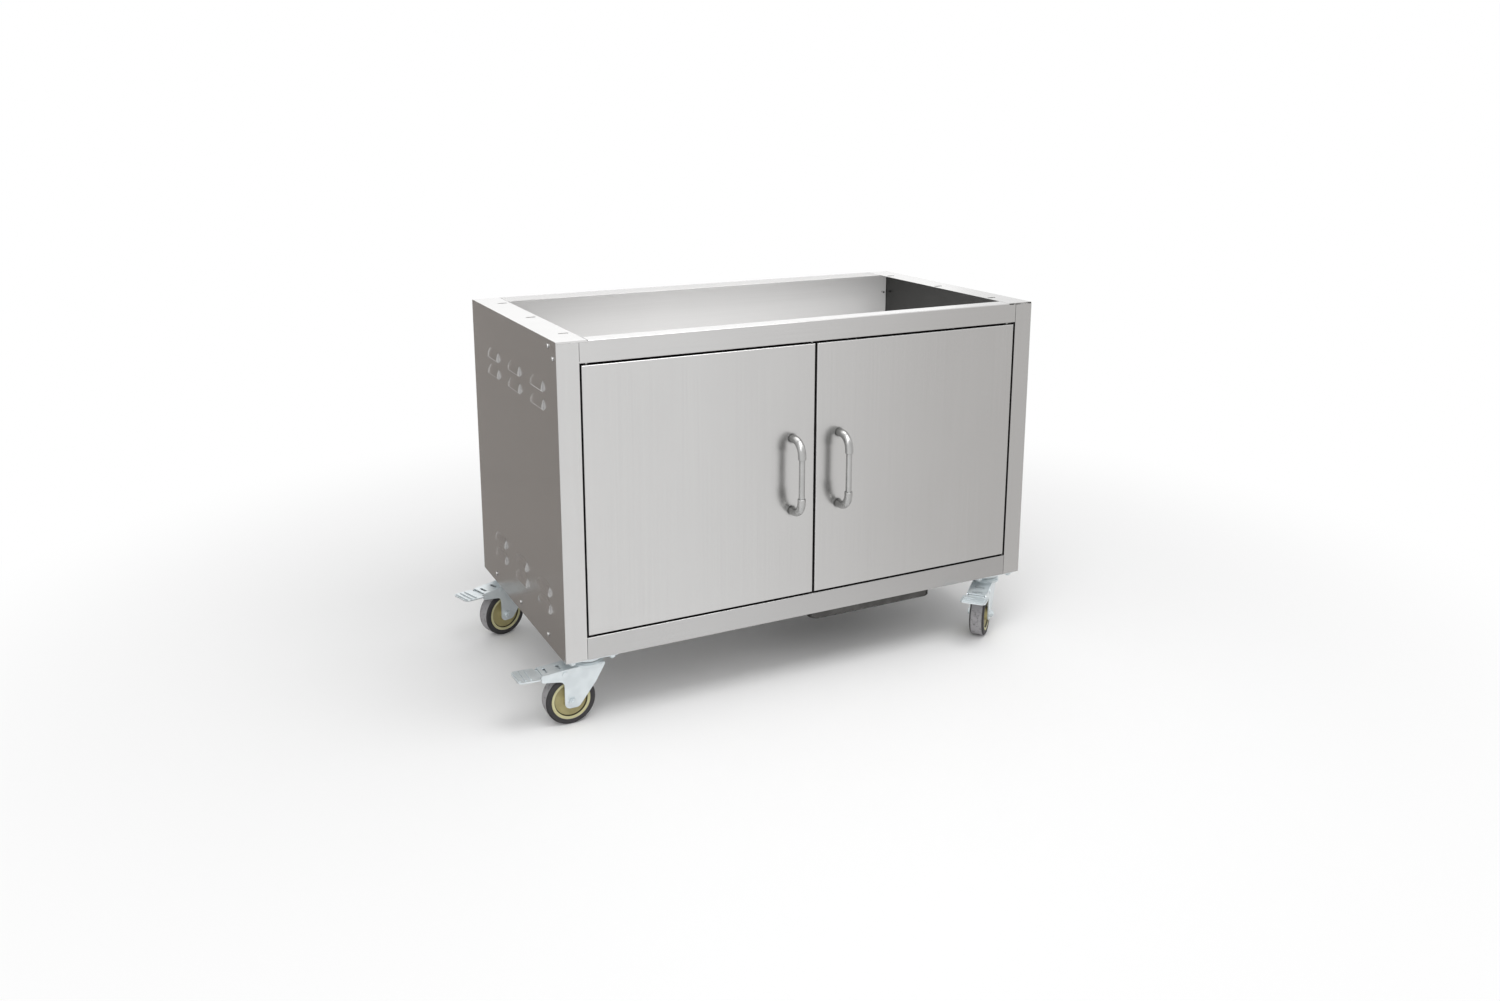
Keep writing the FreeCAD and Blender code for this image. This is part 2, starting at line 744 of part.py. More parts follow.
def build_hinge_bushes():
    members = []
    for name, low in (("lower_bush", door_low), ("upper_bush", door_high - bush_length)):
        body = new_body(name)
        ring = new_sketch(body, "XY", low)
        add_circle(ring, pivot_x, pivot_y, bush_radius)
        add_circle(ring, pivot_x, pivot_y, pin_radius + running_gap)
        pad(body, ring, bush_length)
        members.append(body)
    return group("left_hinge_bushes", members)


def build_hinge_pins():
    """Headed pins pressed into the rail lips, two for each door."""
    members = []
    for side, hand in ((1, "left"), (-1, "right")):
        for name, lip, way in (("upper", opening_top + sheet, -1), ("lower", opening_bottom - sheet, 1)):
            body = new_body(f"{hand}_{name}_pin")
            head = new_sketch(body, "XY", lip)
            add_circle(head, side * pivot_x, pivot_y, pin_head_radius)
            pad(body, head, pin_head_height, -way)
            shank = new_sketch(body, "XY", lip)
            add_circle(shank, side * pivot_x, pivot_y, pin_radius)
            pad(body, shank, sheet + door_gap + pin_reach, way)
            members.append(body)
    return group("door_hinge_pins", members)


def build_catches():
    """A magnet under the top rail for each door and the plate it holds."""
    magnet_front = door_back + sheet + catch_gap
    magnets = []
    for side, hand in ((-1, "left"), (1, "right")):
        body = new_body(f"{hand}_catch")
        block = new_sketch(body, "XY", opening_top)
        low_x = side * catch_x - catch_width / 2
        add_rectangle(block, low_x, magnet_front, low_x + catch_width, front + rail_lip)
        pad(body, block, catch_height, -1)
        magnets.append(body)
    group("door_catch_magnets", magnets)
    plate = new_body("left_strike_plate")
    outline = new_sketch(plate, "XZ", door_back)
    low = opening_top - catch_height
    low_x = -catch_x - catch_width / 2
    add_rectangle(outline, low_x, low, low_x + catch_width, door_high - 2 * sheet)
    pad(plate, outline, sheet, 1)
    return keep(plate)


def build_handle():
    """Two elbows on the door with a thinner bar between them."""
    members = []
    reach = front - handle_reach
    for name, z, way in (("lower_elbow", handle_heights[0], 1), ("upper_elbow", handle_heights[1], -1)):
        body = new_body(name)
        path = new_sketch(body, "YZ", handle_x)
        turn_y = reach + elbow_bend
        turn_z = z + way * elbow_bend
        tail_z = turn_z + way * elbow_tail
        corner = [(front, z), (turn_y, z), (reach, turn_z), (reach, tail_z)]
        places = [Vector(y.value, height.value, 0) for y, height in corner]
        arc_middle = Vector(turn_y.value - elbow_bend.value * math.sqrt(0.5),
                            turn_z.value - way * elbow_bend.value * math.sqrt(0.5), 0)
        path.addGeometry(Part.LineSegment(places[0], places[1]), False)
        path.addGeometry(Part.Arc(places[1], arc_middle, places[2]), False)
        path.addGeometry(Part.LineSegment(places[2], places[3]), False)
        arc_start = 1 if path.getPoint(1, 1).distanceToPoint(places[1]) < 1e-6 else 2
        path.addConstraint(Sketcher.Constraint("Tangent", 0, 2, 1, arc_start))
        path.addConstraint(Sketcher.Constraint("Tangent", 1, 3 - arc_start, 2, 1))
        fix_point(path, 0, 1, front, z)
        fix_point(path, 1, 3, turn_y, turn_z)
        fix_radius(path, 1, elbow_bend)
        fix_point(path, 2, 2, reach, tail_z)
        section = new_sketch(body, "XZ", front)
        add_circle(section, handle_x, z, elbow_radius)
        sweep = body.newObject("PartDesign::AdditivePipe", f"{name}_sweep")
        sweep.Profile = section
        sweep.Spine = (path, [])
        doc.recompute()
        fillet(body, collar_round, {"r": elbow_radius, "z": tail_z})
        foot = new_sketch(body, "XZ", front)
        add_circle(foot, handle_x, z, foot_radius)
        pad(body, foot, foot_height, -1)
        bore = new_sketch(body, "XZ", front)
        add_circle(bore, handle_x, z, screw_radius + press_gap)
        pocket(body, bore, screw_length, -1)
        members.append(body)
    elbows = group("left_handle_elbows", members)
    bar = new_body("left_handle_bar")
    round_bar = new_sketch(bar, "XY", middle_height)
    add_circle(round_bar, handle_x, reach, handle_bar_radius)
    pad(bar, round_bar, handle_pitch - 2 * (elbow_bend + elbow_tail), 0)
    keep(bar)
    screws = new_body("left_handle_screws")
    heads = new_sketch(screws, "XZ", front + sheet)
    shanks = new_sketch(screws, "XZ", front + sheet)
    for z in handle_heights:
        add_circle(heads, handle_x, z, screw_head_radius)
        add_circle(shanks, handle_x, z, screw_radius)
    pad(screws, heads, screw_head_height, 1)
    pad(screws, shanks, screw_length, -1)
    keep(screws)
    return elbows, bar, screws


def build_panel_screws():
    """Dome-headed screws in both sides and along both edges of the back."""
    members = []
    for side, hand in ((-1, "left"), (1, "right")):
        body = new_body(f"{hand}_side_screws")
        heads = new_sketch(body, "YZ", side * right)
        shanks = new_sketch(body, "YZ", side * right)
        for y, z in side_screws:
            add_circle(heads, y, z, screw_head_radius)
            add_circle(shanks, y, z, screw_radius)
        pad(body, heads, screw_head_height, side)
        fillet(body, screw_head_height * DOME_SHARE, {"x": side * (right + screw_head_height)})
        pad(body, shanks, screw_length, -side)
        members.append(body)
    body = new_body("back_screws")
    heads = new_sketch(body, "XZ", back)
    shanks = new_sketch(body, "XZ", back)
    for side in (-1, 1):
        for z in back_screw_heights:
            add_circle(heads, side * back_screw_x, z, screw_head_radius)
            add_circle(shanks, side * back_screw_x, z, screw_radius)
    pad(body, heads, screw_head_height, 1)
    fillet(body, screw_head_height * DOME_SHARE, {"y": back + screw_head_height})
    pad(body, shanks, screw_length, -1)
    members.append(body)
    return group("panel_screws", members)


def build_castor_bolts():
    bolts = new_body("castor_bolts")
    nuts = new_body("castor_nuts")
    plate_low = bottom - plate_thickness
    heads = new_sketch(bolts, "XY", bottom + sheet)
    shanks = new_sketch(bolts, "XY", bottom + sheet)
    rings = new_sketch(nuts, "XY", plate_low)
    for x, y in bolt_places:
        add_hexagon(heads, x, y, bolt_flats)
        add_circle(shanks, x, y, bolt_radius)
        add_hexagon(rings, x, y, bolt_flats)
        add_circle(rings, x, y, bolt_radius + press_gap)
    pad(bolts, heads, bolt_head_height)
    pad(bolts, shanks, sheet + plate_thickness + nut_height + bolt_tail, -1)
    pad(nuts, rings, nut_height, -1)
    keep(bolts)
    keep(nuts)


# Castors: drawn round the kingpin with the wheel trailing along +X, then set in place
axle_z = wheel_radius
plate_low = castor_height - plate_thickness
race_low = plate_low - race_depth
ball_z = race_low - ball_clearance - ball_radius
crown_top = ball_z - ball_radius - ball_clearance
crown_low = crown_top - fork_sheet
web_top = crown_low - kingpin_head_height
fork_width = fork_gap + 2 * fork_sheet
pedal_pivot_x = trail + pedal_pivot_reach
pedal_pivot_z = axle_z + wheel_radius + pedal_pivot_rise


def build_castor_plate(label):
    body = new_body(label)
    plate = new_sketch(body, "XY", plate_low)
    half_length = plate_length / 2
    half_width = plate_width / 2
    add_round_rectangle(plate, -half_length, -half_width, half_length, half_width, plate_corner)
    pad(body, plate, plate_thickness)
    race = new_sketch(body, "XZ", 0)
    hole = kingpin_radius + press_gap
    inner = race_radius - race_wall
    add_loop(race, [(hole, plate_low), (race_radius, plate_low), (race_radius, race_low - race_skirt),
                    (inner, race_low - race_skirt), (inner, race_low), (hole, race_low)])
    revolve(body, race)
    holes = new_sketch(body, "XY", castor_height + plate_thickness)
    for long_side in (-1, 1):
        for wide_side in (-1, 1):
            x = long_side * plate_holes_long / 2
            y = wide_side * plate_holes_wide / 2
            add_circle(holes, x, y, bolt_hole_radius)
    add_circle(holes, 0, 0, hole)
    pocket(body, holes, 3 * plate_thickness)
    return body


def build_kingpin(label):
    body = new_body(label)
    outline = new_sketch(body, "XZ", 0)
    head_top = crown_low - swivel_gap
    head_low = head_top - kingpin_head_height
    add_loop(outline, [(0, castor_height), (kingpin_radius, castor_height), (kingpin_radius, head_top),
                       (kingpin_head, head_top), (kingpin_head, head_low), (0, head_low)])
    revolve(body, outline)
    return body


def build_balls(label):
    body = new_body(label)
    ball = body.newObject("PartDesign::AdditiveSphere", f"{label}_ball")
    bind(ball, "Radius", ball_radius)
    bind(ball, "Placement.Base.x", ball_circle)
    bind(ball, "Placement.Base.z", ball_z)
    doc.recompute()
    ring = body.newObject("PartDesign::PolarPattern", f"{label}_ring")
    ring.Originals = [ball]
    ring.Axis = (origin_part(body, "Z_Axis"), [""])
    ring.Angle = 360
    ring.Occurrences = BALLS_IN_RACE
    body.Tip = ring
    doc.recompute()
    return body


def build_fork(label):
    """Pressed crown and two legs with arms that carry the brake pedal."""
    body = new_body(label)
    legs = new_sketch(body, "XZ", 0)
    rear = leg_inset - crown_radius
    leg_front = trail + leg_half
    leg_back = trail - leg_half
    leg_low = axle_z - leg_half
    arm_end = trail + arm_reach
    arm_top = web_top - arm_slope
    neck = web_top - leg_neck
    add_loop(legs, [(rear, web_top), (trail, web_top), (arm_end, arm_top), (arm_end, arm_top - arm_depth),
                    (leg_front, neck), (leg_front, leg_low), (leg_back, leg_low),
                    (-leg_rear, axle_z + leg_rise), (rear, arm_top)])
    pad(body, legs, fork_width, 0)
    fillet(body, leg_round, {"x": leg_front, "z": leg_low}, {"x": leg_back, "z": leg_low},
           {"x": leg_front, "z": neck})
    fillet(body, arm_round, {"x": arm_end, "z": arm_top}, {"x": arm_end, "z": arm_top - arm_depth})
    slot = new_sketch(body, "XZ", 0)
    web_low = web_top - fork_sheet
    web_end = arm_end - arm_round
    web_end_low = web_low - arm_slope * (1 - arm_round / arm_reach)
    beyond = arm_end + arm_depth
    above = web_top + sheet
    add_loop(slot, [(-crown_radius, web_low), (trail, web_low), (web_end, web_end_low), (web_end, above),
                    (beyond, above), (beyond, 0), (-crown_radius, 0)])
    pocket(body, slot, fork_gap, 0)
    web_slots = new_sketch(body, "XY", above)
    slot_half = web_slot_length / 2
    for number in range(WEB_SLOTS):
        slot_x = web_end - web_slot_width - number * web_slot_pitch
        add_rectangle(web_slots, slot_x - web_slot_width, -slot_half, slot_x, slot_half)
    pocket(body, web_slots, above - axle_z - wheel_radius)
    crown = new_sketch(body, "XZ", 0)
    hole = kingpin_radius + running_gap
    inner = crown_radius - fork_sheet
    add_loop(crown, [(hole, crown_top), (crown_radius - arm_round, crown_top),
                     (crown_radius, crown_top - arm_round), (crown_radius, web_low), (inner, web_low),
                     (inner, crown_low - sheet), (inner - sheet, crown_low), (hole, crown_low)])
    revolve(body, crown)
    well = new_sketch(body, "XY", web_low)
    add_circle(well, 0, 0, kingpin_head + ball_radius)
    pocket(body, well, crown_low - web_low, 1)
    holes = new_sketch(body, "XZ", 0)
    add_circle(holes, trail, axle_z, bolt_radius + press_gap)
    add_circle(holes, pedal_pivot_x, pedal_pivot_z, brake_pin_radius + press_gap)
    pocket(body, holes, 2 * fork_width, 0)
    return body


def build_axle(label):
    """Hex bolt through the legs with its nut."""
    bolt = new_body(f"{label}_shank")
    half = fork_width / 2
    head = new_sketch(bolt, "XZ", -half)
    add_hexagon(head, trail, axle_z, bolt_flats)
    pad(bolt, head, bolt_head_height, -1)
    shank = new_sketch(bolt, "XZ", -half)
    add_circle(shank, trail, axle_z, bolt_radius)
    pad(bolt, shank, fork_width + nut_height + bolt_tail, 1)
    nut = new_body(f"{label}_nut")
    ring = new_sketch(nut, "XZ", half)
    add_hexagon(ring, trail, axle_z, bolt_flats)
    add_circle(ring, trail, axle_z, bolt_radius + press_gap)
    pad(nut, ring, nut_height, 1)
    return bolt, nut


def build_sleeve(label):
    body = new_body(label)
    ring = new_sketch(body, "XZ", 0)
    add_circle(ring, trail, axle_z, sleeve_radius)
    add_circle(ring, trail, axle_z, bolt_radius + press_gap)
    pad(body, ring, fork_gap, 0)
    return body


def build_core(label):
    """Wheel centre: hub, recessed web and outer ring."""
    body = new_body(label)
    outline = new_sketch(body, "XY", axle_z, trail)
    bore = sleeve_radius + running_gap
    hub = fork_gap / 2 - hub_gap
    rim = tyre_width / 2 - core_inset
    web = rim - core_recess
    ring = core_radius - core_ring
    add_loop(outline, [(bore, -hub), (hub_radius, -hub), (hub_radius + core_slope, -web),
                       (ring - core_slope, -web), (ring, -rim), (core_radius, -rim),
                       (core_radius, rim), (ring, rim), (ring - core_slope, web),
                       (hub_radius + core_slope, web), (hub_radius, hub), (bore, hub)])
    revolve(body, outline)
    return body


def build_tyre(label):
    body = new_body(label)
    outline = new_sketch(body, "XY", axle_z, trail)
    half = tyre_width / 2
    seat = core_radius + press_gap
    add_loop(outline, [(seat, -half), (wheel_radius, -half), (wheel_radius, half), (seat, half)])
    revolve(body, outline)
    fillet(body, tyre_shoulder, {"r": wheel_radius})
    return body


def build_pedal(label):
    """Brake lever: a wide ribbed foot, its stem between the arms and the brake shoe under it."""
    body = new_body(label)
    x = pedal_pivot_x
    z = pedal_pivot_z
    start = trail + arm_reach + foot_clearance
    tip = start + foot_length
    half = foot_width / 2
    rise = foot_rise / foot_length
    low = z - foot_rise
    high = z + 2 * (foot_rise + pedal_sheet)
    foot = new_sketch(body, "XY", low)
    add_round_loop(foot, [(tip - foot_corner, foot_corner - half, foot_corner, 270, 360),
                          (tip - foot_corner, half - foot_corner, foot_corner, 0, 90),
                          (start + arm_round, half - arm_round, arm_round, 90, 180),
                          (start + arm_round, arm_round - half, arm_round, 180, 270)])
    pad(body, foot, high - low)
    trimmed = new_sketch(body, "XZ", 0)
    add_loop(trimmed, [(start - foot_corner, low - sheet), (tip + foot_corner, low - sheet),
                       (tip + foot_corner, z + foot_rise + foot_corner * rise),
                       (start - foot_corner, z - foot_corner * rise)])
    add_loop(trimmed, [(start - foot_corner, z + pedal_sheet - foot_corner * rise),
                       (tip + foot_corner, z + pedal_sheet + foot_rise + foot_corner * rise),
                       (tip + foot_corner, high + foot_corner), (start - foot_corner, high + foot_corner)])
    pocket(body, trimmed, 2 * foot_width, 0)
    ribs = new_sketch(body, "XZ", 0)
    for number in range(PEDAL_RIBS):
        rib_x = tip - foot_corner / 2 - number * rib_pitch
        rib_z = z + pedal_sheet / 2 + (rib_x - start) * rise
        rib_top = rib_z + pedal_sheet / 2 + rib_height
        add_rectangle(ribs, rib_x - rib_width / 2, rib_z, rib_x + rib_width / 2, rib_top)
    pad(body, ribs, foot_width - foot_corner, 0)
    stem = new_sketch(body, "XZ", 0)
    stem_end = start + foot_corner / 2
    shoe_x = x + shoe_reach
    shoe_front = shoe_x + pedal_sheet
    heel_half = brake_pin_radius + pedal_sheet / 2
    add_loop(stem, [(x - pedal_heel, z - heel_half), (x + heel_half, z - heel_half - sheet),
                    (shoe_x, z - shoe_drop), (shoe_front, z - shoe_drop + pedal_sheet), (shoe_front, z),
                    (start, z), (stem_end, z + pedal_sheet / 2), (stem_end, z + pedal_sheet),
                    (shoe_front, z + pedal_sheet), (x, z + heel_half), (x - pedal_heel, z + heel_half)])
    pad(body, stem, pedal_width, 0)
    pin_hole = new_sketch(body, "XZ", 0)
    add_circle(pin_hole, x, z, brake_pin_radius + running_gap)
    pocket(body, pin_hole, 2 * pedal_width, 0)
    return body


def build_brake_pin(label):
    body = new_body(label)
    half = fork_width / 2
    shank = new_sketch(body, "XZ", 0)
    add_circle(shank, pedal_pivot_x, pedal_pivot_z, brake_pin_radius)
    pad(body, shank, fork_width, 0)
    for way in (-1, 1):
        head = new_sketch(body, "XZ", way * half)
        add_circle(head, pedal_pivot_x, pedal_pivot_z, brake_pin_head)
        pad(body, head, brake_pin_head_height, way)
    return body


# Directions in which the wheels trail, in degrees from +X
trail_angle = {"front_left": 180, "rear_left": 198, "front_right": 222, "rear_right": 0}


def set_in_place(item, place, turned):
    across, along = castor_places[place]
    angle = trail_angle[place] if turned else 0
    item.Placement = FreeCAD.Placement(Vector(0, 0, 0), FreeCAD.Rotation(Vector(0, 0, 1), angle))
    bind(item, "Placement.Base.x", across * castor_x)
    bind(item, "Placement.Base.y", along * castor_y)


turning_pieces = {"fork": build_fork, "sleeve": build_sleeve, "wheel_core": build_core,
                  "tyre": build_tyre, "brake_pedal": build_pedal, "brake_pin": build_brake_pin}


def build_castors():
    kingpins = []
    ball_rings = []
    for place in castor_places:
        name = f"castor_{place}"
        plate = build_castor_plate(f"{name}_plate")
        kingpin = build_kingpin(f"{name}_kingpin")
        balls = build_balls(f"{name}_balls")
        for item in (plate, kingpin, balls):
            set_in_place(item, place, False)
        keep(plate)
        kingpins.append(kingpin)
        ball_rings.append(balls)
        axle = build_axle(f"{name}_axle_bolt")
        for item in axle:
            set_in_place(item, place, True)
        group(f"{name}_axle_bolt", list(axle))
        for piece, build in turning_pieces.items():
            item = build(f"{name}_{piece}")
            set_in_place(item, place, True)
            keep(item)
    group("castor_kingpins", kingpins)
    group("castor_swivel_balls", ball_rings)


left_panel = build_side_panel()
mirror_across(left_panel, "right_side_panel")
build_back_panel()
build_floor_panel()
build_bottle_well()
build_top_rail()
build_bottom_rail()
build_hinge_pins()
left_door = [build_door_skin(), build_door_liner(), build_hinge_bushes(), build_catches(), *build_handle()]
for piece in left_door:
    mirror_across(piece, piece.Label.replace("left_", "right_"))
build_panel_screws()
build_castor_bolts()
build_castors()
doc.recompute()

# Check every object, then write one file for each sub-part
for item in doc.Objects:
    if "Invalid" in item.State or "Error" in item.State:
        raise RuntimeError(f"{item.Label} did not build: {item.State}")
os.makedirs("parts", exist_ok=True)
for item in finished:
    if item.Shape.isNull() or not item.Shape.isValid():
        raise RuntimeError(f"{item.Label} has no valid shape")
    item.Shape.exportStep(f"parts/{item.Label}.step")
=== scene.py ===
import json
import math

import bpy
from mathutils import Matrix, Vector

# Outdoor kitchen cabinet: brushed stainless sheet on zinc-plated castors, in a plain bright studio.
# Metres and degrees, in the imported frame: X to the right, Y to the back, Z up.

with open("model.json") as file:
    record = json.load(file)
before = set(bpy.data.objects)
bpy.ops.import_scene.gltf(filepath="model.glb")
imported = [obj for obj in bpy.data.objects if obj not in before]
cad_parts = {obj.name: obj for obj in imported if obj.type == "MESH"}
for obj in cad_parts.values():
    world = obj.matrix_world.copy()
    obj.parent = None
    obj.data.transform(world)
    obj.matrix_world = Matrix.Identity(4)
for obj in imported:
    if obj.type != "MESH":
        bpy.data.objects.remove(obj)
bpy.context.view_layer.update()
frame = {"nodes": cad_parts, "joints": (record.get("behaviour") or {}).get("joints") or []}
nodes = frame["nodes"]
joint_of = {joint["name"]: joint for joint in frame["joints"]}

CASTORS = ("front_left", "rear_left", "front_right", "rear_right")
HANDS = ("left", "right")
LEFTWARD = (-1, 0, 0)
RIGHTWARD = (1, 0, 0)
UPWARD = (0, 0, 1)

# Camera, matched to the photograph's 1500 by 1001 frame. Its axis lies some pixels above the frame's middle.
PHOTO_WIDTH = 1500
SENSOR_WIDTH = 36.0
FOCAL_PIXELS = 1240.3
AXIS_RISE_PIXELS = 120
CAMERA_PLACE = (-1.2115, -2.3657, 1.1651)
CAMERA_AZIMUTH = -27.08
CAMERA_ELEVATION = 12.466
CAMERA_ROLL = 0.096


def place_camera():
    azimuth = math.radians(CAMERA_AZIMUTH)
    elevation = math.radians(CAMERA_ELEVATION)
    back = Vector((math.sin(azimuth) * math.cos(elevation),
                   -math.cos(azimuth) * math.cos(elevation),
                   math.sin(elevation)))
    right = Vector(UPWARD).cross(back).normalized()
    up = back.cross(right)
    turn = Matrix((right, up, back)).transposed() @ Matrix.Rotation(math.radians(CAMERA_ROLL), 3, "Z")
    data = bpy.data.cameras.new("camera")
    data.sensor_width = SENSOR_WIDTH
    data.lens = SENSOR_WIDTH * FOCAL_PIXELS / PHOTO_WIDTH
    data.shift_y = -AXIS_RISE_PIXELS / PHOTO_WIDTH
    camera = bpy.data.objects.new("camera", data)
    camera.matrix_world = Matrix.Translation(CAMERA_PLACE) @ turn.to_4x4()
    bpy.context.scene.collection.objects.link(camera)
    bpy.context.scene.camera = camera


# Node trees. The Mix node has one set of sockets for numbers and one for colours.
MIX_SHARE = 0
MIX_NUMBERS = (2, 3)
MIX_NUMBER_OUT = 0
MIX_COLOURS = (6, 7)
MIX_COLOUR_OUT = 2
OCCLUSION_SAMPLES = 16
GLOW_STRENGTH = 1.0


def is_socket(value):
    return isinstance(value, bpy.types.NodeSocket)


def opaque(colour):
    return (*colour, 1.0)


def even(scale):
    """The same noise scale along all three axes."""
    return (scale, scale, scale)


class Recipe:
    """A material's node tree, with short calls that add nodes and join them."""

    def __init__(self, name):
        self.material = bpy.data.materials.new(name)
        self.material.use_nodes = True
        self.tree = self.material.node_tree
        self.shader = self.tree.nodes["Principled BSDF"]

    def fill(self, socket, value):
        if is_socket(value):
            self.tree.links.new(value, socket)
        else:
            socket.default_value = value

    def node(self, kind, inputs, **settings):
        made = self.tree.nodes.new(kind)
        for name, value in settings.items():
            setattr(made, name, value)
        for name, value in inputs.items():
            self.fill(made.inputs[name], value)
        return made

    def shade(self, **inputs):
        """Fills the shader's sockets, with underscores for the spaces in their names."""
        for name, value in inputs.items():
            self.fill(self.shader.inputs[name.replace("_", " ")], value)

    def surface(self, shader):
        self.fill(self.tree.nodes["Material Output"].inputs["Surface"], shader)

    def glow(self, colour):
        return self.node("ShaderNodeEmission", {"Color": colour, "Strength": GLOW_STRENGTH}).outputs[0]

    def place(self):
        return self.node("ShaderNodeTexCoord", {}).outputs["Object"]

    def math(self, operation, first, second=0.0):
        return self.node("ShaderNodeMath", {0: first, 1: second}, operation=operation).outputs[0]

    def vector(self, operation, first, second):
        made = self.node("ShaderNodeVectorMath", {0: first, 1: second}, operation=operation)
        return made.outputs["Value" if operation == "DOT_PRODUCT" else "Vector"]

    def length(self, vector):
        return self.node("ShaderNodeVectorMath", {0: vector}, operation="LENGTH").outputs["Value"]

    def facing(self, direction):
        """1 where the surface looks along the direction, -1 where it looks the other way."""
        normal = self.node("ShaderNodeTexCoord", {}).outputs["Normal"]
        return self.vector("DOT_PRODUCT", normal, direction)

    def flip(self, share):
        return self.math("SUBTRACT", 1.0, share)

    def weigh(self, share, first, second):
        """The first pattern by its share plus the second by the rest."""
        first_part = self.math("MULTIPLY", first, share)
        second_part = self.math("MULTIPLY", second, 1.0 - share)
        return self.math("ADD", first_part, second_part)

    def span(self, value, low, high, to_low=0.0, to_high=1.0):
        inputs = {"Value": value, "From Min": low, "From Max": high, "To Min": to_low, "To Max": to_high}
        return self.node("ShaderNodeMapRange", inputs, interpolation_type="SMOOTHSTEP").outputs["Result"]

    def noise(self, place, scale, detail=3.0, roughness=0.5):
        stretched = self.node("ShaderNodeMapping", {"Vector": place, "Scale": scale}).outputs["Vector"]
        inputs = {"Vector": stretched, "Scale": 1.0, "Detail": detail, "Roughness": roughness}
        return self.node("ShaderNodeTexNoise", inputs).outputs["Fac"]

    def between(self, share, first, second):
        """A number that goes from the first to the second with the share."""
        inputs = {MIX_SHARE: share, **dict(zip(MIX_NUMBERS, (first, second)))}
        return self.node("ShaderNodeMix", inputs).outputs[MIX_NUMBER_OUT]

    def blend(self, share, first, second):
        """A colour that goes from the first to the second with the share."""
        made = self.node("ShaderNodeMix", {MIX_SHARE: share}, data_type="RGBA")
        for index, colour in zip(MIX_COLOURS, (first, second)):
            self.fill(made.inputs[index], colour if is_socket(colour) else opaque(colour))
        return made.outputs[MIX_COLOUR_OUT]

    def painted_shade_mask(self, reach, shut, free):
        """A mask for painted shade: 1 deep in gaps narrower than the reach, 0 on open faces."""
        occlusion = self.node("ShaderNodeAmbientOcclusion", {"Distance": reach}, samples=OCCLUSION_SAMPLES)
        return self.span(occlusion.outputs["AO"], shut, free, 1.0, 0.0)

    def bump(self, height, strength, distance):
        inputs = {"Height": height, "Strength": strength, "Distance": distance}
        self.shade(Normal=self.node("ShaderNodeBump", inputs).outputs["Normal"])


# Noise keeps mostly to the middle of its range, so tones are spread over a part of it.
# Tones are pairs of a darker and a lighter colour. A bump is a strength and a depth.
MIDDLE = (0.35, 0.65)
WIDE_MIDDLE = (0.3, 0.7)
EVEN_SHARE = 0.5
FULL_METAL = 1.0
NO_GLOSS = 0.0

# Stainless sheet
STEEL_TONES = ((0.617, 0.612, 0.607), (0.641, 0.636, 0.631))
STEEL_SPREAD = (0.36, 0.64)
STEEL_ROUGHNESS = (0.225, 0.265)
STEEL_BUMP = (0.03, 0.0004)
# Painted shade: inward faces of the side panels are coloured near black for the shade inside the cabinet
INSIDE_PAINTED_SHADE = (0.095, 0.095, 0.093)
# Painted shade: the low front rail is a darker copy of the sheet
LOW_RAIL_PAINTED_SHADE = 0.86
DULL_METAL = 0.2
GRAIN_ALONG = 2.2
GRAIN_ACROSS = 420.0
FINER_GRAIN = 3.1
CLOUD_SCALE = 5.0
SMEAR_SCALE = 16.0
GRAIN_IN_TONE = 0.7
GRAIN_IN_GLOSS = 0.6
LEVEL_FACES = (0.6, 0.8)
INWARD_FACES = (0.5, 0.9)

# Painted shade in narrow gaps between sheets
GAP_PAINTED_SHADE = (0.012, 0.011, 0.011)
GAP_REACH = 0.016
GAP_SHUT = 0.25
GAP_FREE = 0.62
DOOR_GAP_FREE = 0.88


def grain(recipe, place, axis, across):
    scale = [GRAIN_ALONG if name == axis else across for name in "XYZ"]
    return recipe.noise(place, scale, detail=4.0, roughness=0.6)


